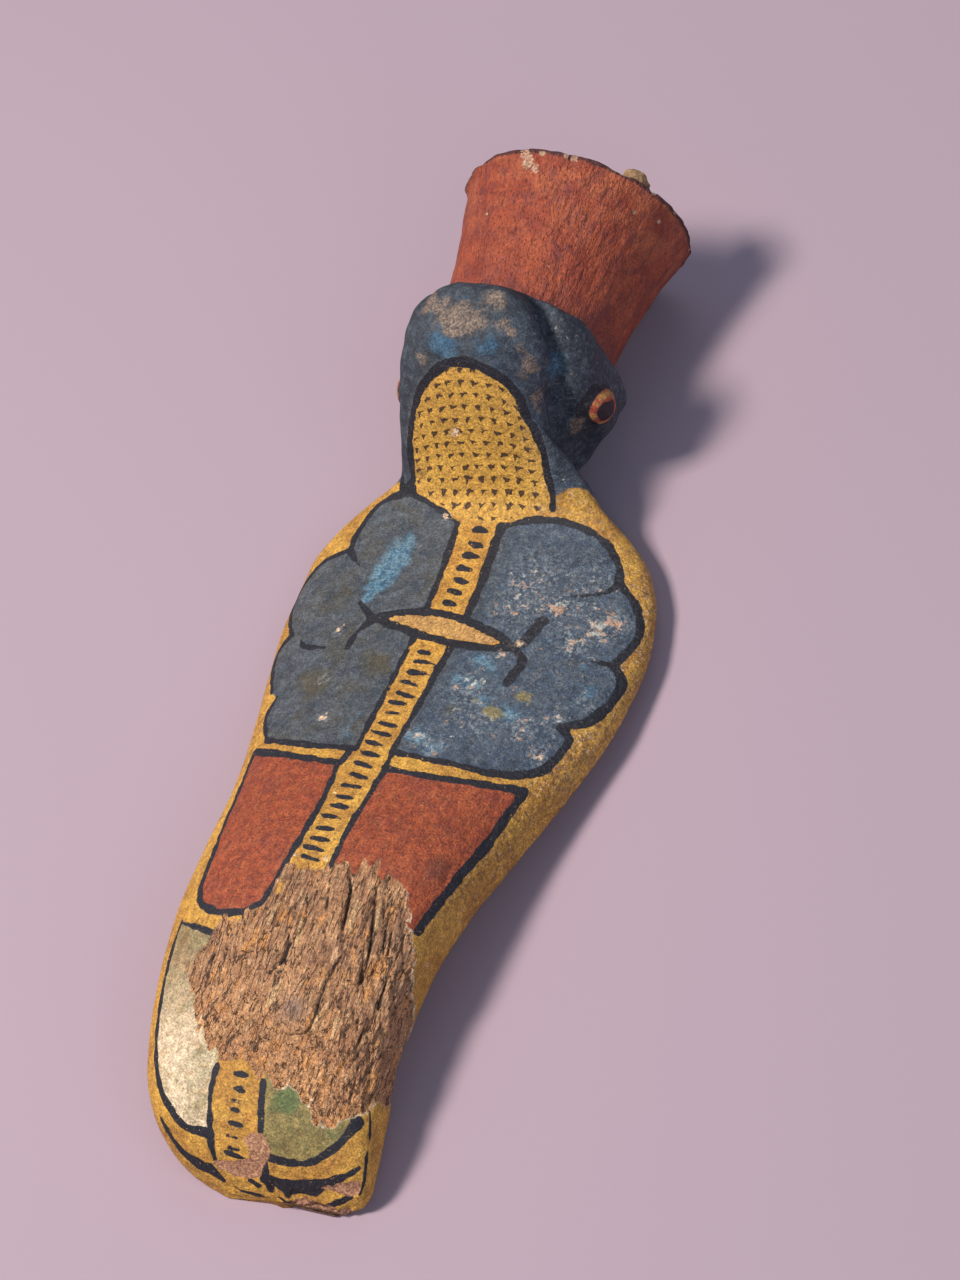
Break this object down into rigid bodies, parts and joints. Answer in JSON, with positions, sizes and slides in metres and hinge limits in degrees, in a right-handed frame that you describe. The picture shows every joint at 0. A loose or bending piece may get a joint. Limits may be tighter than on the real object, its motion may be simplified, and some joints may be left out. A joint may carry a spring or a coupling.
{
  "type": "cobra goddess figurine",
  "caption": "Carved and painted wooden rearing cobra lying on its back, with a spread hood, a patterned belly, a red flared crown and worn bare wood low on the belly.",
  "frame": {"origin": "middle of the box, on the surface that the figure lies on", "axes": "+Y from the foot to the crown, +Z out of the painted front, +X to the figure's own left"},
  "size_m": [0.0752, 0.2132, 0.0493],
  "materials": {
    "painted_wood": "matt gesso paint in ochre, blue-grey, red and black, worn, with bare wood",
    "red_wood": "matt brick-red paint, streaked along the grain, worn at the rim",
    "bare_wood": "bare broken wood"
  },
  "bodies": {
    "root": {"cobra": "painted_wood", "modius_crown": "red_wood", "broken_peg": "bare_wood"}
  },
  "joints": []
}
